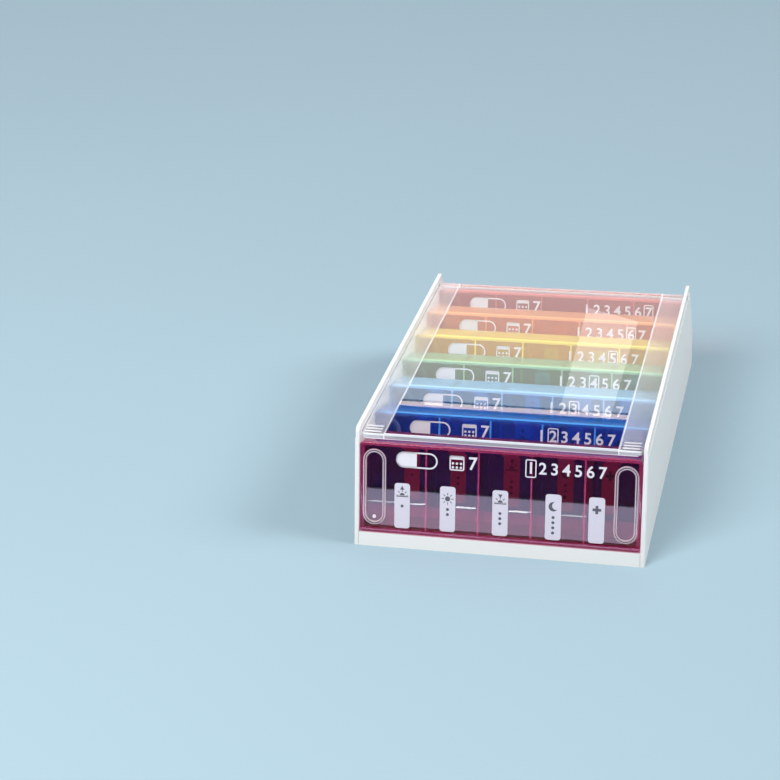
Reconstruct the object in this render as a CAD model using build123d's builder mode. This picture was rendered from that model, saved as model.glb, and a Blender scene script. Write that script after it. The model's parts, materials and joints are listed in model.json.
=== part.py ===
import os
from math import cos, radians, sin, tan

from build123d import *

# Weekly pill box: an open-fronted tray, seven leaning day boxes and a clear hinged lid.
# Origin at the centre of the tray's underside, +X to the viewer's right, +Y to the back, +Z up.

# Tray
tray_width = 117.0
tray_depth = 185.0
tray_wall = 1.9
front_strip_height = 5.4
rear_wall_height = 18.0
rear_top_setback = 16.5
rear_bay_depth = 18.0
wall_rise_above_lid = 2.0
wall_rim_radius = 0.5
wall_front_corner_radius = 2.5
wall_rear_corner_radius = 7.0
wall_step_depth = 0.35
wall_step_height = 4.5
core_skin = 1.4
core_side_margin = 6.0
core_web = 3.0

# Day boxes
day_count = 7
lean = radians(14.0)
face_height = 37.2
box_thickness = 15.5
box_wall = 1.4
box_corner_chamfer = 1.0
box_edge_radius = 0.6
divider_wall = 1.0
divider_shift = 2.3
compartment_count = 5
compartment_pitch = 21.2
compartment_corner_chamfer = 1.5
scoop_radius = 5.0
seat_clearance = 0.3
side_clearance = 0.3

# Rails and day lids
rail_lip_height = 1.5
rail_lip_thickness = 0.9
groove_depth = 0.6
day_lid_thickness = 1.3
day_lid_clearance = 0.12

# Finger grips on the day lids
grip_length = 31.4
grip_width = 9.5
grip_end_inset = 1.1
grip_ridge_width = 1.5
grip_ridge_height = 0.5

# Label films on the day lids
label_width = 6.3
label_height = 18.6
label_thickness = 0.15
label_corner_chamfer = 0.7
label_bottom_inset = 2.2
label_grip_gap = 3.5
label_shift = -1.6

# Tray lid
lid_headroom = 1.4
lid_margin_thickness = 1.6
lid_panel_rise = 0.4
lid_panel_margin = 9.5
lid_front_corner_radius = 2.0
lid_front_setback = 1.2
lid_lip_depth = 1.6
lid_lip_drop = 0.5
grip_rib_count = 3
grip_rib_length = 7.0
grip_rib_width = 1.1
grip_rib_height = 0.45
grip_rib_end_chamfer = 0.35
grip_rib_pitch = 2.3
grip_rib_front_inset = 1.6

# Lid hinge
hinge_setback = 23.5
barrel_radius = 1.5
pin_radius = 1.3
pin_clearance = 0.05
pin_end_clearance = 0.2

cut_overrun = 1.0

# Places worked out from the sizes above
up_y, up_z = sin(lean), cos(lean)
front_y = -tray_depth / 2
rear_y = tray_depth / 2
inner_width = tray_width - 2 * tray_wall
box_width = inner_width - 2 * side_clearance
first_seat_y = front_y + front_strip_height * tan(lean)
seat_length = box_thickness + 2 * seat_clearance
seat_drop = seat_length * up_y
pitch = (tray_depth - rear_bay_depth - front_strip_height * tan(lean) - seat_length * up_z) / (day_count - 1)
box_front_z = front_strip_height + seat_clearance * up_z
box_front_y = first_seat_y + seat_clearance * up_y
box_top_z = box_front_z + face_height * up_z
box_top_y = box_front_y + face_height * up_y
lid_bottom_z = box_top_z + lid_headroom
lid_margin_z = lid_bottom_z + lid_margin_thickness
lid_top_z = lid_margin_z + lid_panel_rise
wall_height = lid_top_z + wall_rise_above_lid
hinge_y = rear_y - hinge_setback
hinge_z = lid_bottom_z + lid_margin_thickness / 2
lid_front_y = box_top_y + lid_front_setback
lid_width = inner_width - 2 * side_clearance

os.makedirs("parts", exist_ok=True)


def seat_front(day):
    return first_seat_y + pitch * (day - 1)


def face_plane(day):
    # The face of one day box: local X to the right, local Y up the leaning face, local Z out of it.
    origin = (0, box_front_y + pitch * (day - 1), box_front_z)
    return Plane(origin=origin, x_dir=(1, 0, 0), z_dir=(0, -up_z, up_y))


# Tray: leaning side walls, sawtooth seats, low rear wall and hollow lands below
with BuildPart() as tray:
    with BuildSketch(Plane.YZ.offset(-tray_width / 2)) as wall_outline:
        with BuildLine():
            Polyline(
                (front_y, 0),
                (front_y + wall_height * tan(lean), wall_height),
                (rear_y - rear_top_setback, wall_height),
                (rear_y, rear_wall_height),
                (rear_y, 0),
                close=True,
            )
        make_face()
        front_corner, rear_corner = wall_outline.vertices().group_by(Axis.Y)[-1].sort_by(Axis.X)
        fillet(front_corner, radius=wall_front_corner_radius)
        fillet(rear_corner, radius=wall_rear_corner_radius)
    extrude(amount=tray_wall)
    outer_face = tray.faces().sort_by(Axis.X)[0]
    inner_face = tray.faces().sort_by(Axis.X)[-1]
    rim_edges = [e for f in (outer_face, inner_face) for e in f.edges() if e.center().Z > rear_wall_height]
    fillet(rim_edges, radius=wall_rim_radius)
    # A shallow set-back band along the outside of the rim
    with BuildSketch(Plane.XZ.offset(-rear_y - cut_overrun)):
        with Locations((-tray_width / 2, wall_height - wall_step_height)):
            Rectangle(wall_step_depth, wall_step_height + cut_overrun, align=(Align.MIN, Align.MIN))
    extrude(amount=tray_depth + 2 * cut_overrun, mode=Mode.SUBTRACT)
    mirror(about=Plane.YZ)

    seat_points = []
    for day in range(1, day_count + 1):
        seat_points.append((seat_front(day), front_strip_height))
        low_y, low_z = seat_front(day) + seat_length * up_z, front_strip_height - seat_drop
        seat_points.append((low_y, low_z))
        if day < day_count:
            seat_points.append((low_y + seat_drop * tan(lean), front_strip_height))
    with BuildSketch(Plane.YZ.offset(-inner_width / 2)):
        with BuildLine():
            Polyline(
                (front_y, 0),
                *seat_points,
                (rear_y, front_strip_height - seat_drop),
                (rear_y, 0),
                close=True,
            )
        make_face()
    extrude(amount=inner_width)

    with BuildSketch(Plane.YZ.offset(-inner_width / 2)):
        with Locations((rear_y, 0)):
            Rectangle(tray_wall, rear_wall_height, align=(Align.MAX, Align.MIN))
    extrude(amount=inner_width)

    # Hollows moulded up into the lands between the seats, either side of a middle web
    land_depth = pitch - seat_length * up_z
    core_width = inner_width / 2 - core_side_margin - core_web / 2
    for day in range(2, day_count + 1):
        with BuildSketch(Plane.XY):
            for side in (-1, 1):
                with Locations((side * (core_web + core_width) / 2, seat_front(day))):
                    Rectangle(core_width, land_depth - core_skin, align=(Align.CENTER, Align.MAX))
        extrude(amount=front_strip_height - core_skin, mode=Mode.SUBTRACT)

    # Bearing holes for the lid's pins
    with BuildSketch(Plane.YZ.offset(-tray_width / 2 - cut_overrun)):
        with Locations((hinge_y, hinge_z)):
            Circle(pin_radius + pin_clearance)
    extrude(amount=tray_width + 2 * cut_overrun, mode=Mode.SUBTRACT)
tray.part.label = "tray"
export_step(tray.part, "parts/tray.step")

# Tray lid: flat plate with a raised clear panel, frosted margins, front lip, grip ribs and hinge pins
with BuildPart() as lid:
    with BuildSketch(Plane.XY.offset(lid_bottom_z)) as lid_outline:
        with Locations((0, lid_front_y)):
            Rectangle(lid_width, hinge_y - lid_front_y, align=(Align.CENTER, Align.MIN))
        fillet(lid_outline.vertices().group_by(Axis.Y)[0], radius=lid_front_corner_radius)
    extrude(amount=lid_margin_thickness)
    with BuildSketch(Plane.XY.offset(lid_margin_z)):
        with Locations((0, lid_front_y)):
            panel_width = lid_width - 2 * lid_panel_margin
            Rectangle(panel_width, hinge_y - lid_front_y - barrel_radius, align=(Align.CENTER, Align.MIN))
    extrude(amount=lid_panel_rise)
    with BuildSketch(Plane.XY.offset(lid_bottom_z - lid_lip_drop)):
        with Locations((0, lid_front_y)):
            lip_width = lid_width - 2 * lid_front_corner_radius
            Rectangle(lip_width, lid_lip_depth, align=(Align.CENTER, Align.MIN))
    extrude(amount=lid_lip_drop)
    # Grip ribs across the two front corners
    with BuildSketch(Plane.XY.offset(lid_margin_z)) as ribs:
        for side in (-1, 1):
            rib_x = side * (lid_width - lid_panel_margin) / 2
            for rib in range(grip_rib_count):
                rib_y = lid_front_y + grip_rib_front_inset + grip_rib_pitch * rib
                with Locations((rib_x, rib_y)):
                    Rectangle(grip_rib_length, grip_rib_width)
        chamfer(ribs.vertices(), length=grip_rib_end_chamfer)
    extrude(amount=grip_rib_height)
    # Rolled rear edge and its two pins
    with BuildSketch(Plane.YZ.offset(-lid_width / 2)):
        with Locations((hinge_y, hinge_z)):
            Circle(barrel_radius)
    extrude(amount=lid_width)
    with BuildSketch(Plane.YZ.offset(-tray_width / 2 + pin_end_clearance)):
        with Locations((hinge_y, hinge_z)):
            Circle(pin_radius)
    extrude(amount=tray_width - 2 * pin_end_clearance)
lid.part.label = "lid"
export_step(lid.part, "parts/lid.step")

# Rail and day lid levels, measured in from a box's face
groove_front = rail_lip_thickness
groove_back = rail_lip_thickness + day_lid_thickness + 2 * day_lid_clearance
window_bottom = rail_lip_height
window_height = face_height - 2 * rail_lip_height
groove_bottom = rail_lip_height - groove_depth
groove_height = face_height - 2 * groove_bottom
day_lid_front = groove_front + day_lid_clearance
compartment_height = face_height - 2 * box_wall

# Compartment limits across the box: even dividers, shifted to the right, with the end compartments
# reaching the end walls
divider_xs = [
    divider_shift + compartment_pitch * (i - compartment_count / 2) for i in range(1, compartment_count)
]
left_limits = [-box_width / 2 + box_wall] + [x + divider_wall / 2 for x in divider_xs]
right_limits = [x - divider_wall / 2 for x in divider_xs] + [box_width / 2 - box_wall]

# Finger grips near the ends, and labels near the compartment centres, the outer two beside the grips
grip_x = box_width / 2 - grip_end_inset - grip_width / 2
end_label_x = grip_x - grip_width / 2 - label_grip_gap - label_width / 2
inner_label_xs = [(a + b) / 2 + label_shift for a, b in zip(divider_xs, divider_xs[1:])]
label_xs = [-end_label_x, *inner_label_xs, end_label_x]

for day in range(1, day_count + 1):
    face = face_plane(day)

    # Day box: moulded row of compartments behind two grooved rails
    with BuildPart() as day_box:
        with BuildSketch(face.offset(-box_thickness)):
            Rectangle(box_width, face_height, align=(Align.CENTER, Align.MIN))
        extrude(amount=box_thickness)
        chamfer(day_box.edges().filter_by(Axis(face.origin, face.z_dir)), length=box_corner_chamfer)
        fillet(day_box.edges().filter_by(Axis.X), radius=box_edge_radius)
        with BuildSketch(face.offset(-box_thickness + box_wall)) as compartments:
            for left, right in zip(left_limits, right_limits):
                with Locations(((left + right) / 2, box_wall)):
                    Rectangle(right - left, compartment_height, align=(Align.CENTER, Align.MIN))
            chamfer(compartments.vertices(), length=compartment_corner_chamfer)
        extrude(amount=box_thickness, mode=Mode.SUBTRACT)
        # Rounded corner where the compartments' floor meets their back wall
        floor_back = face.from_local_coords((0, box_wall, -box_thickness + box_wall))
        with BuildSketch(Plane(origin=floor_back, x_dir=face.z_dir, z_dir=(-1, 0, 0))):
            with BuildLine():
                Polyline((0, scoop_radius), (0, 0), (scoop_radius, 0))
                CenterArc((scoop_radius, scoop_radius), scoop_radius, 180, 90)
            make_face()
        extrude(amount=box_width / 2 - box_wall, both=True)
        with BuildSketch(face.offset(-groove_back)):
            with Locations((0, groove_bottom)):
                Rectangle(box_width + cut_overrun, groove_height, align=(Align.CENTER, Align.MIN))
        extrude(amount=groove_back - groove_front, mode=Mode.SUBTRACT)
        with BuildSketch(face.offset(-groove_front)):
            with Locations((0, window_bottom)):
                Rectangle(box_width + cut_overrun, window_height, align=(Align.CENTER, Align.MIN))
        extrude(amount=groove_front + cut_overrun, mode=Mode.SUBTRACT)
    day_box.part.label = f"day_box_{day}"
    export_step(day_box.part, f"parts/day_box_{day}.step")

    # Day lid: plate that runs in the rails, with a raised finger grip outline at each end
    with BuildPart() as day_lid:
        with BuildSketch(face.offset(-day_lid_front - day_lid_thickness)):
            with Locations((0, groove_bottom + day_lid_clearance)):
                lid_face_height = groove_height - 2 * day_lid_clearance
                Rectangle(box_width, lid_face_height, align=(Align.CENTER, Align.MIN))
        extrude(amount=day_lid_thickness)
        with BuildSketch(face.offset(-day_lid_front)):
            with Locations((-grip_x, face_height / 2), (grip_x, face_height / 2)):
                SlotOverall(grip_length, grip_width, rotation=90)
                SlotOverall(
                    grip_length - 2 * grip_ridge_width,
                    grip_width - 2 * grip_ridge_width,
                    rotation=90,
                    mode=Mode.SUBTRACT,
                )
        extrude(amount=grip_ridge_height)
    day_lid.part.label = f"day_lid_{day}"
    export_step(day_lid.part, f"parts/day_lid_{day}.step")

    # Label films: one per compartment
    with BuildPart() as labels:
        with BuildSketch(face.offset(-day_lid_front)) as films:
            with Locations(*[(x, label_bottom_inset + label_height / 2) for x in label_xs]):
                Rectangle(label_width, label_height)
            chamfer(films.vertices(), length=label_corner_chamfer)
        extrude(amount=label_thickness)
    labels.part.label = f"labels_{day}"
    export_step(labels.part, f"parts/labels_{day}.step")

print("wall height", round(wall_height, 3), "pitch", round(pitch, 3))
print("box front", round(box_front_y, 3), round(box_front_z, 3))
print("box top", round(box_top_y, 3), round(box_top_z, 3))
print("hinge", round(hinge_y, 3), round(hinge_z, 3))
print("lid front", round(lid_front_y, 3), round(lid_bottom_z, 3))
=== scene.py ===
import json
from math import asin, cos, pi, radians, sin

import bpy
from mathutils import Matrix, Vector


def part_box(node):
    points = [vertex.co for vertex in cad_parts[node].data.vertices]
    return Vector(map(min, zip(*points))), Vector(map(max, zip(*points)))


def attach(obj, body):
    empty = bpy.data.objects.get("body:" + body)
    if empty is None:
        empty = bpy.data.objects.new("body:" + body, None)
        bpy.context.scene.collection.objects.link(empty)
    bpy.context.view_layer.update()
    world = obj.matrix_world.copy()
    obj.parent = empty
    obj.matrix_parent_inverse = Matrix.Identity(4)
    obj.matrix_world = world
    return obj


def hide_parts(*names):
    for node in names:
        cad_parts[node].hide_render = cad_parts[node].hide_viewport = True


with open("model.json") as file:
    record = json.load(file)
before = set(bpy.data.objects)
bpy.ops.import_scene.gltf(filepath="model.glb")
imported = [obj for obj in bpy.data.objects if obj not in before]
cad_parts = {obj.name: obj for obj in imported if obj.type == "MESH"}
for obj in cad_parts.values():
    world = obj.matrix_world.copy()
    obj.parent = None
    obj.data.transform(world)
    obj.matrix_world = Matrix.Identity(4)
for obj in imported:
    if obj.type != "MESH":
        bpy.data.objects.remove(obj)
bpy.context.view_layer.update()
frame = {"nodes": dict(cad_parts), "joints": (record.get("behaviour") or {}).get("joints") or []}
nodes = frame["nodes"]
mm = 0.001
print("frame loaded:", len(nodes), "nodes")

# where the day faces stand, from the joints
joints = {joint["name"]: joint for joint in frame["joints"]}
outward = Vector(joints["box_1_slide"]["axis"])
lean = asin(outward.z)
upFace = Vector((0, sin(lean), cos(lean)))
pivotDay = 2
pivot = Vector(joints[f"box_{pivotDay}_tilt"]["pos_m"])
dayPitch = Vector(joints[f"box_{pivotDay + 1}_tilt"]["pos_m"]) - pivot
dayCount = 7
days = range(1, dayCount + 1)


def faceOrigin(day):
    return pivot + dayPitch * (day - pivotDay)


# level of the day lid's front surface, which carries the labels and the print
lidLevel = min((v.co - faceOrigin(1)).dot(outward) for v in nodes["labels_1"].data.vertices)


# shader maths

class Amount:
    # a node's output; arithmetic on it adds Math nodes
    def __init__(self, finish, node, socket):
        self.finish = finish
        self.node = node
        self.socket = socket

    def out(self, name):
        return Amount(self.finish, self.node, self.node.outputs[name])

    def maths(self, operation, first, second):
        return self.finish.node("ShaderNodeMath", {"operation": operation}, {0: first, 1: second})

    def __add__(self, other):
        return self.maths("ADD", self, other)

    def __radd__(self, other):
        return self.maths("ADD", other, self)

    def __sub__(self, other):
        return self.maths("SUBTRACT", self, other)

    def __rsub__(self, other):
        return self.maths("SUBTRACT", other, self)

    def __mul__(self, other):
        return self.maths("MULTIPLY", self, other)

    def __rmul__(self, other):
        return self.maths("MULTIPLY", other, self)

    def __gt__(self, other):
        return self.maths("GREATER_THAN", self, other)

    def __lt__(self, other):
        return self.maths("LESS_THAN", self, other)

    def __pow__(self, power):
        return self.maths("POWER", self, power)

    def __abs__(self):
        return self.maths("ABSOLUTE", self, 0)


class Finish:
    # one material and its nodes
    def __init__(self, name):
        self.material = bpy.data.materials.new(name)
        self.material.use_nodes = True
        self.tree = self.material.node_tree
        self.tree.nodes.clear()
        self.place = self.node("ShaderNodeTexCoord").out("Object")

    def node(self, kind, settings=None, sockets=None):
        made = self.tree.nodes.new(kind)
        for name, value in (settings or {}).items():
            setattr(made, name, value)
        for name, value in (sockets or {}).items():
            if isinstance(value, Amount):
                self.tree.links.new(value.socket, made.inputs[name])
            else:
                made.inputs[name].default_value = value
        return Amount(self, made, made.outputs[0] if made.outputs else None)

    def blend(self, mask, colourA, colourB):
        sockets = {0: mask, 6: colourA, 7: colourB}
        return self.node("ShaderNodeMix", {"data_type": "RGBA"}, sockets).out(2)

    def noise(self, scale, detail=2):
        sockets = {"Vector": self.place, "Scale": scale, "Detail": detail}
        return self.node("ShaderNodeTexNoise", None, sockets)

    def streaks(self, scale, stretch, detail=3):
        # noise drawn out along one direction, for flow lines and fine scratches
        drawn = self.node("ShaderNodeMapping", None, {"Vector": self.place, "Scale": stretch})
        sockets = {"Vector": drawn, "Scale": scale, "Detail": detail}
        return self.node("ShaderNodeTexNoise", None, sockets)

    def along(self, direction):
        # distance of a place along a direction
        sockets = {0: self.place, 1: direction}
        return self.node("ShaderNodeVectorMath", {"operation": "DOT_PRODUCT"}, sockets).out("Value")

    def bump(self, height, strength, distance):
        sockets = {"Height": height, "Strength": strength, "Distance": distance}
        return self.node("ShaderNodeBump", None, sockets)

    def plastic(self, sockets):
        return self.node("ShaderNodeBsdfPrincipled", None, sockets)

    def mixed(self, share, first, second):
        return self.node("ShaderNodeMixShader", None, {0: share, 1: first, 2: second})

    def surface(self, shader):
        self.node("ShaderNodeOutputMaterial", None, {"Surface": shader})
        return self.material

    def lampsPass(self, shader, tint):
        # lamps shine through the clear plastic, so that what stands inside is lit
        lamp = self.node("ShaderNodeLightPath").out("Is Shadow Ray")
        through = self.node("ShaderNodeBsdfTransparent", None, {"Color": tint})
        return self.mixed(lamp, shader, through)


def rgb(red, green, blue):
    return (red, green, blue, 1)


def shaded(colour, share):
    return rgb(*[part * share for part in colour])


# white tray

tray = dict(warm=rgb(0.73, 0.715, 0.69), cool=rgb(0.71, 0.71, 0.70), ior=1.46, broad=30, grain=1500,
            rough=0.34, roughBroad=0.08, roughGrain=0.06, bump=0.15, bumpDepth=0.05 * mm)


def trayPlastic():
    finish = Finish("white_tray_plastic")
    broad = finish.noise(tray["broad"])
    grain = finish.noise(tray["grain"], detail=3)
    return finish.surface(finish.plastic({
        "Base Color": finish.blend(broad, tray["warm"], tray["cool"]),
        "Roughness": tray["rough"] + tray["roughBroad"] * broad + tray["roughGrain"] * grain,
        "Normal": finish.bump(grain, tray["bump"], tray["bumpDepth"]),
        "IOR": tray["ior"],
    }))


# clear tray lid with frosted side margins; the last row gives the shares of white painted on as highlights
# where the edges catch the light, and on the frosted margins

lidLow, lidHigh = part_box("lid")
lid = dict(tint=rgb(0.97, 0.98, 0.98), shade=rgb(0.76, 0.77, 0.78), white=rgb(0.82, 0.83, 0.85), ior=1.49,
           panelHalf=46.8 * mm, border=0.25 * mm, lip=0.5 * mm, lipLine=0.45 * mm, lipTop=1.8 * mm,
           rear=2.4 * mm, ribs=8.6 * mm, ribLevel=0.3 * mm, grain=2600, scuffs=160, scuffStretch=(1, 9, 1),
           clearRough=0.006, scuffRough=0.008, frostRough=0.13, whiteRough=0.3, whiteGrain=0.2,
           bump=0.25, bumpDepth=0.05 * mm,
           marginLight=0.07, lipLight=0.35, lineLight=0.5, ribLight=0.4, borderLight=0.4, rearLight=0.25)


def lidPlastic():
    finish = Finish("clear_lid_plastic")
    place = finish.node("ShaderNodeSeparateXYZ", None, {0: finish.place})
    sideways, back, height = abs(place.out("X")), place.out("Y"), place.out("Z")
    margin = sideways > lid["panelHalf"]
    grain = finish.noise(lid["grain"])
    scuffs = finish.streaks(lid["scuffs"], lid["scuffStretch"])
    clear = finish.plastic({
        "Base Color": lid["tint"],
        "Roughness": lid["clearRough"] + lid["scuffRough"] * scuffs + lid["frostRough"] * margin,
        "Normal": finish.bump(grain * margin, lid["bump"], lid["bumpDepth"]),
        "IOR": lid["ior"],
        "Transmission Weight": 1,
    })
    # painted highlights where edges catch the light: the front lip, the grip ribs, the border of the panel
    # and the rear edge; the frosted margins take a little of the same white
    frostAndHighlight = finish.plastic({
        "Base Color": lid["white"],
        "Roughness": lid["whiteRough"] + lid["whiteGrain"] * grain,
    })
    lip = back < lidLow.y + lid["lip"]
    lipLines = (height < lidLow.z + lid["lipLine"]) + (height > lidLow.z + lid["lipTop"])
    ribs = margin * (back < lidLow.y + lid["ribs"]) * (height > lidHigh.z - lid["ribLevel"])
    border = abs(sideways - lid["panelHalf"]) < lid["border"]
    rear = back > lidHigh.y - lid["rear"]
    # caught is the share of painted highlight on the edges, and of frosted white on the margins
    caught = lid["marginLight"] * margin + lip * (lid["lipLight"] + lid["lineLight"] * lipLines)
    caught = caught + lid["ribLight"] * ribs + lid["borderLight"] * border + lid["rearLight"] * rear
    return finish.surface(finish.lampsPass(finish.mixed(caught, clear, frostAndHighlight), lid["shade"]))


# tinted day boxes and day lids
# glow is the colour of a painted glow on their thick edges, rim that of a painted highlight on the top front
# edge; top, line, rimLight and grip are the shares of painted light that the rails, dividers, top edge and
# finger grips catch; haze says how milky the walls are, and lamps how strongly the tint colours the
# lamplight that comes through

dayTints = [
    dict(name="plum", tint=(0.60, 0.18, 0.36), glow=(0.42, 0.04, 0.15), rim=(0.62, 0.06, 0.22),
         top=0.34, haze=0.0, lamps=0.5, line=0.33, rimLight=0.18, grip=0.5),
    dict(name="blue", tint=(0.03, 0.34, 0.85), glow=(0.015, 0.18, 0.66), rim=(0.12, 0.52, 0.98),
         top=0.27, haze=0.06, lamps=0.25, line=0.5, rimLight=0.5, grip=0.14),
    dict(name="sky", tint=(0.33, 0.67, 0.92), glow=(0.42, 0.72, 0.97), rim=(0.40, 0.68, 0.92),
         top=0.35, haze=0.10, lamps=0.5, line=0.5, rimLight=0.5, grip=0.08),
    dict(name="green", tint=(0.48, 0.70, 0.64), glow=(0.40, 0.68, 0.42), rim=(0.44, 0.72, 0.40),
         top=0.35, haze=0.05, lamps=0.5, line=0.45, rimLight=0.5, grip=0.08),
    dict(name="yellow", tint=(0.93, 0.77, 0.18), glow=(0.95, 0.77, 0.14), rim=(0.92, 0.74, 0.10),
         top=0.40, haze=0.15, lamps=0.5, line=0.7, rimLight=0.5, grip=0.08),
    dict(name="orange", tint=(0.92, 0.45, 0.15), glow=(0.95, 0.44, 0.18), rim=(0.86, 0.40, 0.14),
         top=0.40, haze=0.20, lamps=0.5, line=0.45, rimLight=0.5, grip=0.08),
    dict(name="red", tint=(0.80, 0.20, 0.18), glow=(0.76, 0.23, 0.21), rim=(0.70, 0.20, 0.19),
         top=0.38, haze=0.11, lamps=0.5, line=0.45, rimLight=0.5, grip=0.08),
]
dayPlastic = dict(ior=1.49, depth=0.86, glowDepth=0.8, flow=45, flowStretch=(0.35, 1, 1), scuffs=300,
                  scuffStretch=(0.2, 1, 1), rough=0.004, scuffRough=0.012, glowRough=0.12, rimRough=0.15,
                  paleRough=0.2, edgeScuff=0.1, paleTint=0.35, paleWhite=0.6,
                  height=37.2 * mm, railEdge=1.55 * mm, frontDepth=2.7 * mm, endWall=54.8 * mm,
                  dividerPitch=21.2 * mm, dividerShift=2.3 * mm, dividerHalf=0.3 * mm,
                  rimHeight=0.55 * mm, rimDepth=0.5 * mm, ridgeLine=0.25 * mm,
                  gripBase=0.3, gripLine=0.7, nubLight=1.9)
# sizes of the day lids, up from the foot of the face; the painted highlights of the finger grips follow them
# too
dayLids = dict(low=1.02 * mm, high=36.18 * mm, thickness=1.3 * mm, edge=0.12 * mm, gripX=50.45 * mm,
               gripMiddle=18.6 * mm, gripLength=31.4 * mm, gripWidth=9.5 * mm, ridge=1.5 * mm,
               ridgeHeight=0.5 * mm, ridgeRound=0.3 * mm, sink=0.2 * mm,
               nub=0.75 * mm, nubHeight=0.3 * mm, nubInset=3.4 * mm, smoothAngle=radians(40))


def gripShare(finish, up, across):
    # painted highlights: both edges of a finger grip's outline catch the most light, and so does the nub
    # inside it
    beside = abs(across) - dayLids["gripX"]
    straight = (dayLids["gripLength"] - dayLids["gripWidth"]) / 2
    pastEnd = abs(up - dayLids["gripMiddle"]) - straight
    pastEnd = finish.node("ShaderNodeMath", {"operation": "MAXIMUM"}, {0: pastEnd, 1: 0})
    fromGrip = (beside * beside + pastEnd * pastEnd) ** 0.5
    fromRidge = abs(fromGrip - (dayLids["gripWidth"] - dayLids["ridge"]) / 2)
    lines = abs(fromRidge - dayLids["ridge"] / 2 + dayPlastic["ridgeLine"]) < dayPlastic["ridgeLine"]
    nub = fromGrip < dayLids["gripWidth"] / 2 - dayLids["ridge"]
    return dayPlastic["gripBase"] + dayPlastic["gripLine"] * lines + dayPlastic["nubLight"] * nub


def tintedPlastic(day, look):
    finish = Finish(look["name"] + "_plastic")
    flow = finish.streaks(dayPlastic["flow"], dayPlastic["flowStretch"])
    scuffs = finish.streaks(dayPlastic["scuffs"], dayPlastic["scuffStretch"])
    edgeScuffs = dayPlastic["edgeScuff"] * scuffs
    # places up the face, out of it and across it
    origin = faceOrigin(day)
    up = finish.along(upFace) - origin.dot(upFace)
    out = finish.along(outward) - origin.dot(outward)
    across = finish.node("ShaderNodeSeparateXYZ", None, {0: finish.place}).out("X")
    rails = (up > dayPlastic["height"] - dayPlastic["railEdge"]) + (up < dayPlastic["railEdge"])
    front = (out > -dayPlastic["frontDepth"]) * (1 - rails)
    ends = (abs(across) > dayPlastic["endWall"]) * front
    # two dividers on each side of the middle, half a pitch and one and a half pitches away
    fromMiddle = abs(across - dayPlastic["dividerShift"])
    fromDivider = abs(abs(fromMiddle - dayPlastic["dividerPitch"]) - dayPlastic["dividerPitch"] / 2)
    dividers = (fromDivider < dayPlastic["dividerHalf"]) * front
    clear = finish.plastic({
        "Base Color": finish.blend(flow, rgb(*look["tint"]), shaded(look["tint"], dayPlastic["depth"])),
        "Roughness": dayPlastic["rough"] + dayPlastic["scuffRough"] * scuffs,
        "IOR": dayPlastic["ior"],
        "Transmission Weight": 1,
    })
    # painted glow of the thick edges: an opaque plastic in the glow colour
    lit = finish.plastic({
        "Base Color": finish.blend(flow, rgb(*look["glow"]), shaded(look["glow"], dayPlastic["glowDepth"])),
        "Roughness": dayPlastic["glowRough"] + edgeScuffs,
        "IOR": dayPlastic["ior"],
    })
    # a little of it everywhere for the milky haze, and painted glow on the rails and end walls
    shader = finish.mixed(look["haze"] + look["top"] * (rails + ends), clear, lit)
    # painted highlights: the top front edge and the dividers shine brighter
    rim = (up > dayPlastic["height"] - dayPlastic["rimHeight"]) * (out > -dayPlastic["rimDepth"])
    paintedHighlight = finish.plastic({
        "Base Color": rgb(*look["rim"]),
        "Roughness": dayPlastic["rimRough"] + edgeScuffs,
    })
    shader = finish.mixed(look["rimLight"] * rim + look["line"] * dividers, shader, paintedHighlight)
    # painted highlight in a pale tint on the raised grip outlines and the nub
    raised = (out > lidLevel + dayPlastic["ridgeLine"] / 3) * (1 - rails)
    paleColour = [dayPlastic["paleTint"] * part + dayPlastic["paleWhite"] for part in look["tint"]]
    gripHighlight = finish.plastic({
        "Base Color": rgb(*paleColour),
        "Roughness": dayPlastic["paleRough"] + edgeScuffs,
    })
    shader = finish.mixed(raised * look["grip"] * gripShare(finish, up, across), shader, gripHighlight)
    return finish.surface(finish.lampsPass(shader, rgb(*[part ** look["lamps"] for part in look["tint"]])))


# label film and inks

film = dict(light=rgb(0.64, 0.60, 0.68), dark=rgb(0.58, 0.55, 0.63), fibre=1400, rough=0.5, roughFibre=0.15,
            bump=0.1, bumpDepth=0.03 * mm)
inks = dict(spread=900, roughSpread=0.1,
            white=dict(light=rgb(0.69, 0.67, 0.70), dark=rgb(0.63, 0.62, 0.65), rough=0.35),
            slate=dict(light=rgb(0.045, 0.05, 0.065), dark=rgb(0.09, 0.10, 0.12), rough=0.4))


def labelFilm():
    finish = Finish("label_film")
    fibre = finish.noise(film["fibre"], detail=4)
    return finish.surface(finish.plastic({
        "Base Color": finish.blend(fibre, film["light"], film["dark"]),
        "Roughness": film["rough"] + film["roughFibre"] * fibre,
        "Normal": finish.bump(fibre, film["bump"], film["bumpDepth"]),
    }))


def ink(name):
    finish = Finish(name + "_ink")
    spread = finish.noise(inks["spread"], detail=3)
    return finish.surface(finish.plastic({
        "Base Color": finish.blend(spread, inks[name]["light"], inks[name]["dark"]),
        "Roughness": inks[name]["rough"] + inks["roughSpread"] * spread,
    }))


def dress(piece, material):
    piece.data.materials.clear()
    piece.data.materials.append(material)


dress(nodes["tray"], trayPlastic())
dress(nodes["lid"], lidPlastic())
dayPlastics = []
for day, look in zip(days, dayTints):
    dayPlastics.append(tintedPlastic(day, look))
    dress(nodes[f"day_box_{day}"], dayPlastics[-1])
filmFinish = labelFilm()
whiteInk = ink("white")
slateInk = ink("slate")
print("finishes made:", len(bpy.data.materials))


# modelling steps

weld = 0.001 * mm  # points this near are one
touch = 0.01 * mm  # and this near count as lying on a place


def deselect():
    bpy.ops.object.select_all(action="DESELECT")


def only(piece):
    deselect()
    piece.select_set(True)
    bpy.context.view_layer.objects.active = piece


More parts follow.
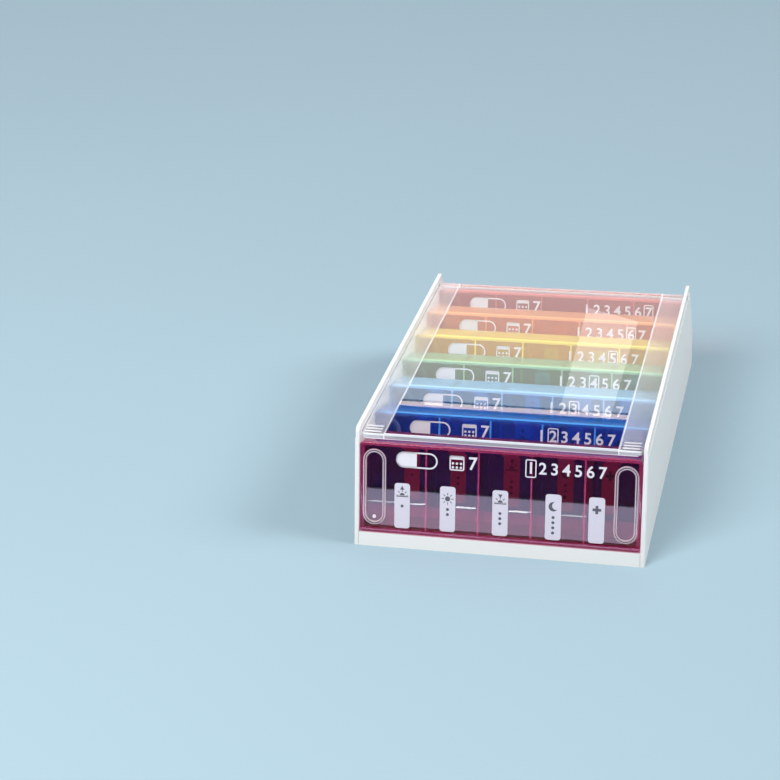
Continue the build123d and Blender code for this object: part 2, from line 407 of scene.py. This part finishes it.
def plate(name, width, height, x=0, y=0):
    # a flat plate to shape further, centred at x, y
    deselect()
    bpy.ops.mesh.primitive_plane_add(size=1, location=(x, y, 0))
    made = bpy.context.object
    made.name = name
    made.scale = (width, height, 1)
    bpy.ops.object.transform_apply(location=True, rotation=False, scale=True)
    return made


def disc(name, radius, x=0, y=0, steps=24):
    deselect()
    bpy.ops.mesh.primitive_circle_add(vertices=steps, radius=radius, fill_type="NGON", location=(x, y, 0))
    made = bpy.context.object
    made.name = name
    bpy.ops.object.transform_apply(location=True, rotation=False, scale=True)
    return made


def inEdit(piece):
    only(piece)
    bpy.ops.object.mode_set(mode="EDIT")
    bpy.ops.mesh.select_all(action="SELECT")


def outOfEdit():
    bpy.ops.object.mode_set(mode="OBJECT")


def roundCorners(piece, radius, steps):
    inEdit(piece)
    bpy.ops.mesh.bevel(offset=radius, segments=steps, affect="VERTICES")
    bpy.ops.mesh.select_all(action="SELECT")
    bpy.ops.mesh.remove_doubles(threshold=weld)
    outOfEdit()


def outline(piece, line):
    # leaves a rim of that width
    inEdit(piece)
    bpy.ops.mesh.inset(thickness=line)
    bpy.ops.mesh.delete(type="FACE")
    outOfEdit()


def thicken(piece, amount, base=0):
    inEdit(piece)
    bpy.ops.transform.translate(value=(0, 0, base))
    bpy.ops.mesh.extrude_region_move(TRANSFORM_OT_translate={"value": (0, 0, amount)})
    bpy.ops.mesh.select_all(action="SELECT")
    bpy.ops.mesh.normals_make_consistent(inside=False)
    outOfEdit()


def cutAway(piece, point, normal):
    # removes what lies on the normal's side of a plane and closes the cut
    inEdit(piece)
    bpy.ops.mesh.bisect(plane_co=point, plane_no=normal, use_fill=True, clear_outer=True)
    outOfEdit()


def around(piece, centre, steps):
    # copies the shape in a ring about a point
    inEdit(piece)
    bpy.ops.mesh.spin(steps=steps, dupli=True, angle=2 * pi, center=centre, axis=(0, 0, 1),
                      use_auto_merge=False)
    bpy.ops.mesh.select_all(action="SELECT")
    bpy.ops.mesh.remove_doubles(threshold=weld)
    outOfEdit()


def finishWith(piece, kind, **settings):
    only(piece)
    modifier = piece.modifiers.new(kind.lower(), kind)
    for name, value in settings.items():
        setattr(modifier, name, value)
    bpy.ops.object.modifier_apply(modifier=modifier.name)


def weldOn(piece, part):
    finishWith(piece, "BOOLEAN", operation="UNION", object=part, solver="EXACT")
    bpy.data.objects.remove(part)


def moved(piece, x):
    piece.location.x = x
    only(piece)
    bpy.ops.object.transform_apply(location=True, rotation=False, scale=False)
    return piece


def joined(pieces, name):
    only(pieces[0])
    for piece in pieces:
        piece.select_set(True)
    if len(pieces) > 1:
        bpy.ops.object.join()
    pieces[0].name = name
    return pieces[0]


def copyOf(piece, name):
    made = piece.copy()
    made.data = piece.data.copy()
    made.name = name
    bpy.context.scene.collection.objects.link(made)
    return made


def ontoFace(piece, day):
    # shapes are drawn flat, x along the face and y up it, then laid on the day lid
    only(piece)
    piece.rotation_euler = (pi / 2 - lean, 0, 0)
    piece.location = faceOrigin(day) + outward * lidLevel
    bpy.ops.object.transform_apply(location=True, rotation=True, scale=True)


# day lids: a plate in the rails with a rounded finger grip outline near each end

def edgesAt(piece, level):
    # selects the edges that lie at one level
    only(piece)
    for polygon in piece.data.polygons:
        polygon.select = False
    for vertex in piece.data.vertices:
        vertex.select = abs(vertex.co.z - level) < touch
    for edge in piece.data.edges:
        edge.select = all(piece.data.vertices[i].select for i in edge.vertices)


def fingerGrip(x):
    grip = plate("grip", dayLids["gripWidth"], dayLids["gripLength"], x, dayLids["gripMiddle"])
    roundCorners(grip, dayLids["gripWidth"] / 2, steps=12)
    outline(grip, dayLids["ridge"])
    thicken(grip, dayLids["ridgeHeight"] + dayLids["sink"], -dayLids["sink"])
    return grip


def mouldingNub():
    # at the lower end of the left grip
    y = dayLids["gripMiddle"] - dayLids["gripLength"] / 2 + dayLids["nubInset"]
    nub = disc("nub", dayLids["nub"], -dayLids["gripX"], y)
    thicken(nub, dayLids["nubHeight"] + dayLids["sink"], -dayLids["sink"])
    finishWith(nub, "BEVEL", width=dayLids["nubHeight"] / 2, segments=3, limit_method="ANGLE")
    return nub


def dayLidPlate():
    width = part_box("day_lid_1")[1].x * 2
    height = dayLids["high"] - dayLids["low"]
    slab = plate("day_lid", width, height, 0, dayLids["low"] + height / 2)
    thicken(slab, dayLids["thickness"], -dayLids["thickness"])
    finishWith(slab, "BEVEL", width=dayLids["edge"], segments=2, limit_method="ANGLE")
    for side in (-1, 1):
        weldOn(slab, fingerGrip(side * dayLids["gripX"]))
    weldOn(slab, mouldingNub())
    # round the top edges of the grip outlines
    edgesAt(slab, dayLids["ridgeHeight"])
    bpy.ops.object.mode_set(mode="EDIT")
    bpy.ops.mesh.select_mode(type="EDGE")
    bpy.ops.mesh.region_to_loop()
    bpy.ops.mesh.bevel(offset=dayLids["ridgeRound"], segments=4, affect="EDGES")
    outOfEdit()
    only(slab)
    bpy.ops.object.shade_smooth_by_angle(angle=dayLids["smoothAngle"])
    return slab


# label pads, one for each compartment

pads = dict(width=6.3 * mm, height=18.6 * mm, bottom=2.2 * mm, thickness=0.15 * mm, corner=1.2 * mm,
            edge=0.04 * mm, innerPitch=21.2 * mm, innerShift=0.7 * mm)
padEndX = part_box("labels_1")[1].x - pads["width"] / 2
padXs = [-padEndX, *[pads["innerShift"] + pads["innerPitch"] * step for step in (-1, 0, 1)], padEndX]
padTop = pads["bottom"] + pads["height"]


def labelPads():
    first = plate("pad", pads["width"], pads["height"], 0, pads["bottom"] + pads["height"] / 2)
    roundCorners(first, pads["corner"], steps=6)
    thicken(first, pads["thickness"])
    finishWith(first, "BEVEL", width=pads["edge"], segments=2, limit_method="ANGLE")
    row = [moved(copyOf(first, "pad_copy"), x) for x in padXs]
    bpy.data.objects.remove(first)
    return joined(row, "label_pads")


# pictograms on the pads: sun up, sun, sun down, moon, cross, with one dot more for each time of day
# the bite that makes the moon a crescent is given as shares of the moon's radius

marks = dict(top=5.0 * mm, sun=1.05 * mm, ray=0.95 * mm, rayLine=0.32 * mm, rayGap=0.42 * mm, rays=8,
             line=0.4 * mm, arrowUp=2.9 * mm, moon=1.9 * mm, bite=0.82, biteAside=0.55, biteUp=0.2,
             cross=3.4 * mm, crossLine=1.1 * mm, dot=0.62 * mm, dotPitch=2.1 * mm, dotTop=9.4 * mm,
             thickness=0.03 * mm)


def inked(mark):
    thicken(mark, marks["thickness"], pads["thickness"])
    return mark


def sunMark(x, y, half):
    reach = marks["sun"] + marks["rayGap"] + marks["ray"] / 2
    ball = disc("sun", marks["sun"], x, y)
    ray = plate("ray", marks["rayLine"], marks["ray"], x, y + reach)
    around(ray, (x, y, 0), marks["rays"])
    sun = inked(joined([ball, ray], "sun"))
    if half:
        cutAway(sun, (x, y, 0), (0, -1, 0))
        width = 2 * (reach + marks["ray"] / 2)
        ground = inked(plate("ground", width, marks["line"], x, y - marks["line"]))
        sun = joined([sun, ground], "sun")
    return sun


def arrowMark(x, y, way):
    arrow = disc("arrow", marks["sun"], x, y, steps=3)
    if way < 0:
        inEdit(arrow)
        bpy.ops.transform.rotate(value=pi, orient_axis="Z", center_override=(x, y, 0))
        outOfEdit()
    return inked(arrow)


def moonMark(x, y):
    radius = marks["moon"]
    moon = inked(disc("moon", radius, x, y, steps=32))
    biteX, biteY = x + radius * marks["biteAside"], y + radius * marks["biteUp"]
    bite = disc("bite", radius * marks["bite"], biteX, biteY, steps=32)
    # the bite reaches past both faces of the moon
    thicken(bite, 3 * marks["thickness"], pads["thickness"] - marks["thickness"])
    finishWith(moon, "BOOLEAN", operation="DIFFERENCE", object=bite)
    bpy.data.objects.remove(bite)
    return moon


def crossMark(x, y):
    # a square with an arm pulled out of each side
    cross = plate("cross", marks["crossLine"], marks["crossLine"], x, y)
    arm = (marks["cross"] - marks["crossLine"]) / 2
    for way in (Vector((1, 0, 0)), Vector((-1, 0, 0)), Vector((0, 1, 0)), Vector((0, -1, 0))):
        only(cross)
        centre = Vector((x, y, 0)) + way * marks["crossLine"] / 2
        for edge in cross.data.edges:
            middle = sum((cross.data.vertices[i].co for i in edge.vertices), Vector()) / 2
            edge.select = (middle - centre).length < touch
        for polygon in cross.data.polygons:
            polygon.select = False
        for vertex in cross.data.vertices:
            vertex.select = any(vertex.index in e.vertices for e in cross.data.edges if e.select)
        bpy.ops.object.mode_set(mode="EDIT")
        bpy.ops.mesh.select_mode(type="EDGE")
        bpy.ops.mesh.extrude_edges_move(TRANSFORM_OT_translate={"value": way * arm})
        outOfEdit()
    return inked(cross)


def padMarks():
    y = padTop - marks["top"]
    pieces = [
        sunMark(padXs[0], y, True), arrowMark(padXs[0], y + marks["arrowUp"], 1),
        sunMark(padXs[1], y, False),
        sunMark(padXs[2], y, True), arrowMark(padXs[2], y + marks["arrowUp"], -1),
        moonMark(padXs[3], y),
        crossMark(padXs[4], y),
    ]
    for place, x in enumerate(padXs[:-1]):
        for step in range(place + 1):
            dotY = padTop - marks["dotTop"] - step * marks["dotPitch"]
            pieces.append(inked(disc("dot", marks["dot"], x, dotY, steps=16)))
    return joined(pieces, "label_marks")


# white print on the day lids: a capsule, a week sheet and the row of day numbers
# the week sheet's bar and dots are shares of its side, the day's frame shares of a figure's pitch and height

printWork = dict(thickness=0.04 * mm, lift=0.01 * mm, boldness=0.10 * mm, middle=30.6 * mm,
                 capsuleX=-33.3 * mm, capsuleWidth=17.0 * mm, capsuleHeight=6.6 * mm, capsuleLine=0.6 * mm,
                 sheetX=-17.0 * mm, sheet=6.0 * mm, sheetLine=0.5 * mm, sheetCorner=0.8 * mm,
                 barWidth=0.98, barHeight=0.22, barUp=0.36, dotPitch=0.27, dotDrop=0.02, dot=0.5 * mm,
                 sevenX=-10.6 * mm, seven=7.26 * mm, figure=6.6 * mm, firstX=12.6 * mm, figurePitch=4.7 * mm,
                 frameWidth=0.94, frameHeight=1.12, frameLine=0.45 * mm, frameCorner=0.8 * mm)


def printed(piece):
    thicken(piece, printWork["thickness"], printWork["lift"])
    return piece


def numeral(figure, size, x):
    deselect()
    bpy.ops.object.text_add()
    made = bpy.context.object
    made.data.body = figure
    made.data.size = size
    made.data.offset = printWork["boldness"]
    made.data.align_x = "CENTER"
    made.data.align_y = "CENTER"
    made.data.extrude = printWork["thickness"] / 2
    bpy.ops.object.convert(target="MESH")
    made = bpy.context.object
    made.location = (x, printWork["middle"], printWork["lift"] + printWork["thickness"] / 2)
    bpy.ops.object.transform_apply(location=True, rotation=True, scale=True)
    return made


def capsulePrint():
    x, y = printWork["capsuleX"], printWork["middle"]
    shell = plate("capsule", printWork["capsuleWidth"], printWork["capsuleHeight"], x, y)
    roundCorners(shell, printWork["capsuleHeight"] / 2, steps=12)
    filledHalf = copyOf(shell, "capsule_half")
    outline(shell, printWork["capsuleLine"])
    printed(shell)
    printed(filledHalf)
    cutAway(filledHalf, (x, y, 0), (1, 0, 0))
    return [shell, filledHalf]


def sheetPrint():
    # a week sheet: a frame, a head bar and two rows of dots
    x, y, side = printWork["sheetX"], printWork["middle"], printWork["sheet"]
    rim = plate("sheet", side, side, x, y)
    roundCorners(rim, printWork["sheetCorner"], steps=4)
    outline(rim, printWork["sheetLine"])
    barY = y + side * printWork["barUp"]
    made = [rim, plate("head", side * printWork["barWidth"], side * printWork["barHeight"], x, barY)]
    for column in (-1, 0, 1):
        for row in (0, 1):
            dotX = x + column * side * printWork["dotPitch"]
            dotY = y - (row * printWork["dotPitch"] + printWork["dotDrop"]) * side
            made.append(disc("day", printWork["dot"], dotX, dotY, steps=12))
    return [printed(piece) for piece in made]


def facePrint():
    pieces = capsulePrint() + sheetPrint()
    pieces.append(numeral(str(dayCount), printWork["seven"], printWork["sevenX"]))
    for step in range(dayCount):
        x = printWork["firstX"] + step * printWork["figurePitch"]
        pieces.append(numeral(str(step + 1), printWork["figure"], x))
    return joined(pieces, "face_print")


def dayFrame():
    # round the first number; each day's copy moves along to its own
    width = printWork["figurePitch"] * printWork["frameWidth"]
    height = printWork["figure"] * printWork["frameHeight"]
    rim = plate("day_frame", width, height, printWork["firstX"], printWork["middle"])
    roundCorners(rim, printWork["frameCorner"], steps=4)
    outline(rim, printWork["frameLine"])
    return printed(rim)


lidPlate = dayLidPlate()
padRow = labelPads()
markRow = padMarks()
printRow = facePrint()
frameRim = dayFrame()
print("day lid, labels and print modelled")

for day in days:
    slab = copyOf(lidPlate, f"day_lid_plate_{day}")
    padSet = copyOf(padRow, f"label_pads_{day}")
    markSet = copyOf(markRow, f"label_marks_{day}")
    rim = moved(copyOf(frameRim, "rim"), (day - 1) * printWork["figurePitch"])
    printSet = joined([copyOf(printRow, "numbers"), rim], f"face_print_{day}")
    plastic = dayPlastics[day - 1]
    for piece, finish in ((slab, plastic), (padSet, filmFinish), (markSet, slateInk), (printSet, whiteInk)):
        ontoFace(piece, day)
        dress(piece, finish)
        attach(piece, f"box_{day}")
    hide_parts(f"day_lid_{day}")
    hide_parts(f"labels_{day}")
for master in (lidPlate, padRow, markRow, printRow, frameRim):
    bpy.data.objects.remove(master)
print("labels and print laid on", dayCount, "day lids")


# floor and room

stage = dict(floor=16.0, near=rgb(0.28, 0.39, 0.45), far=rgb(0.30, 0.41, 0.47), cloud=3, rough=0.75,
             roughCloud=0.1, world=rgb(0.80, 0.90, 1.0), worldLight=0.25, mirrored=0.15,
             bounces=32, clearBounces=48)
dark = dict(width=16.0, depth=7.0, start=0.72, level=1.5 * mm, deep=rgb(0.006, 0.006, 0.008),
            gripHighlight=rgb(0.012, 0.012, 0.015), mottle=40, rough=0.9, roughMottle=0.05)


def floorSheet():
    floor = plate("floor", stage["floor"], stage["floor"])
    finish = Finish("pale_floor")
    cloud = finish.noise(stage["cloud"])
    dress(floor, finish.surface(finish.plastic({
        "Base Color": finish.blend(cloud, stage["near"], stage["far"]),
        "Roughness": stage["rough"] + stage["roughCloud"] * cloud,
    })))


def darkRoom():
    # a dark sheet that shows only in reflections: a painted dark reflection of the room beyond the bright
    # table in the polished front faces
    reflectionSheet = plate("dark_reflection_sheet", dark["width"], dark["depth"], 0, -dark["start"] - dark["depth"] / 2)
    reflectionSheet.location.z = dark["level"]
    finish = Finish("dark_reflection")
    mottle = finish.noise(dark["mottle"])
    dress(reflectionSheet, finish.surface(finish.plastic({
        "Base Color": finish.blend(mottle, dark["deep"], dark["gripHighlight"]),
        "Roughness": dark["rough"] + dark["roughMottle"] * mottle,
    })))
    for ray in ("camera", "diffuse", "transmission", "shadow", "volume_scatter"):
        setattr(reflectionSheet, "visible_" + ray, False)


def roomLight():
    world = bpy.data.worlds.new("studio")
    world.use_nodes = True
    worldNodes, links = world.node_tree.nodes, world.node_tree.links
    background = worldNodes["Background"]
    background.inputs["Color"].default_value = stage["world"]
    # the room lights the plastic but hardly shows as a reflection in it
    mirrored = worldNodes.new("ShaderNodeLightPath")
    strength = worldNodes.new("ShaderNodeMapRange")
    strength.inputs["To Min"].default_value = stage["worldLight"]
    strength.inputs["To Max"].default_value = stage["worldLight"] * stage["mirrored"]
    links.new(mirrored.outputs["Is Glossy Ray"], strength.inputs["Value"])
    links.new(strength.outputs["Result"], background.inputs["Strength"])
    bpy.context.scene.world = world


# lamps: two suns and a fill light the object
# cards show only as shine on the lid and the front faces; glints are short bright lines beside the labels

suns = (
    dict(name="key", place=(1.0, 0.15, 0.8), strength=1.9, spread=radians(25)),
    dict(name="overhead", place=(0, 0.1, 1), strength=1.3, spread=radians(110)),
)
fill = dict(name="fill", place=(-0.5, -0.8, 0.9), target=(0, 0, 0.02), width=0.7, height=0.7, radiance=9)
cards = (
    dict(name="lid_shine", place=(-0.2, 1.2, 0.545), target=(-0.2, 0, 0.545), width=2.0, height=0.290,
         radiance=2.1),
    dict(name="lid_edge", place=(-0.2, 1.19, 0.690), target=(-0.2, 0, 0.690), width=2.0, height=0.006,
         radiance=5.0, colour=(1, 0.76, 0.62)),
    dict(name="lid_band", place=(-0.139, 1.18, 0.622), target=(-0.139, 0, 0.622), width=0.056, height=0.124,
         radiance=1.4, roll=radians(-14)),
    dict(name="front_shine", place=(-0.1, -0.45, 0.001), target=(-0.1, -0.45, 1), width=2.4, height=0.52,
         radiance=5.2, colour=(0.80, 0.67, 1)),
)
glints = dict(y=-444 * mm, level=3 * mm, depth=22 * mm, lines=(
    dict(x=-131 * mm, width=16 * mm, radiance=8),
    dict(x=-109.9 * mm, width=7.6 * mm, radiance=18),
    dict(x=-81.3 * mm, width=11.2 * mm, radiance=18),
    dict(x=-50.2 * mm, width=12.4 * mm, radiance=18),
    dict(x=-18.2 * mm, width=13.6 * mm, radiance=8),
))


def sun(name, place, strength, spread):
    light = bpy.data.lights.new(name, "SUN")
    light.energy = strength
    light.angle = spread
    lamp = bpy.data.objects.new(name, light)
    bpy.context.scene.collection.objects.link(lamp)
    lamp.rotation_mode = "QUATERNION"
    lamp.rotation_quaternion = (-Vector(place)).to_track_quat("-Z", "Y")


def softbox(name, place, target, width, height, radiance, colour=(1, 1, 1), roll=0, onlyShine=False):
    light = bpy.data.lights.new(name, "AREA")
    light.shape = "RECTANGLE"
    light.size, light.size_y = width, height
    light.color = colour
    light.energy = radiance * pi * width * height
    lamp = bpy.data.objects.new(name, light)
    bpy.context.scene.collection.objects.link(lamp)
    aim = (Vector(target) - Vector(place)).to_track_quat("-Z", "Y").to_matrix().to_4x4()
    lamp.matrix_world = Matrix.Translation(Vector(place)) @ aim @ Matrix.Rotation(roll, 4, "Z")
    lamp.visible_camera = False
    lamp.visible_transmission = False  # not seen through the clear plastic either
    lamp.visible_diffuse = not onlyShine


def lamps():
    for lamp in suns:
        sun(**lamp)
    softbox(**fill)
    for card in cards:
        softbox(**card, onlyShine=True)
    for line in glints["lines"]:
        place = Vector((line["x"], glints["y"], glints["level"]))
        above = place + Vector((0, 0, 1))
        softbox("glint", place, above, line["width"], glints["depth"], line["radiance"], onlyShine=True)


# camera

view = dict(place=(134.45 * mm, -756.02 * mm, 409.6 * mm), right=(0.97169, 0.2314, -0.04761),
            up=(-0.06119, 0.44114, 0.89535), lens=91.572, sensor=36, nearest=0.01)


def camera():
    data = bpy.data.cameras.new("camera")
    data.lens = view["lens"]
    data.sensor_width = view["sensor"]
    data.clip_start = view["nearest"]
    made = bpy.data.objects.new("camera", data)
    bpy.context.scene.collection.objects.link(made)
    right = Vector(view["right"]).normalized()
    back = right.cross(Vector(view["up"])).normalized()
    up = back.cross(right)
    turn = Matrix((right, up, back)).transposed().to_4x4()
    made.matrix_world = Matrix.Translation(Vector(view["place"])) @ turn
    bpy.context.scene.camera = made


floorSheet()
darkRoom()
roomLight()
lamps()
camera()
bpy.context.scene.view_settings.view_transform = "Standard"
bpy.context.scene.cycles.max_bounces = stage["bounces"]
bpy.context.scene.cycles.transmission_bounces = stage["bounces"]
bpy.context.scene.cycles.transparent_max_bounces = stage["clearBounces"]
print("floor, lamps and camera set")
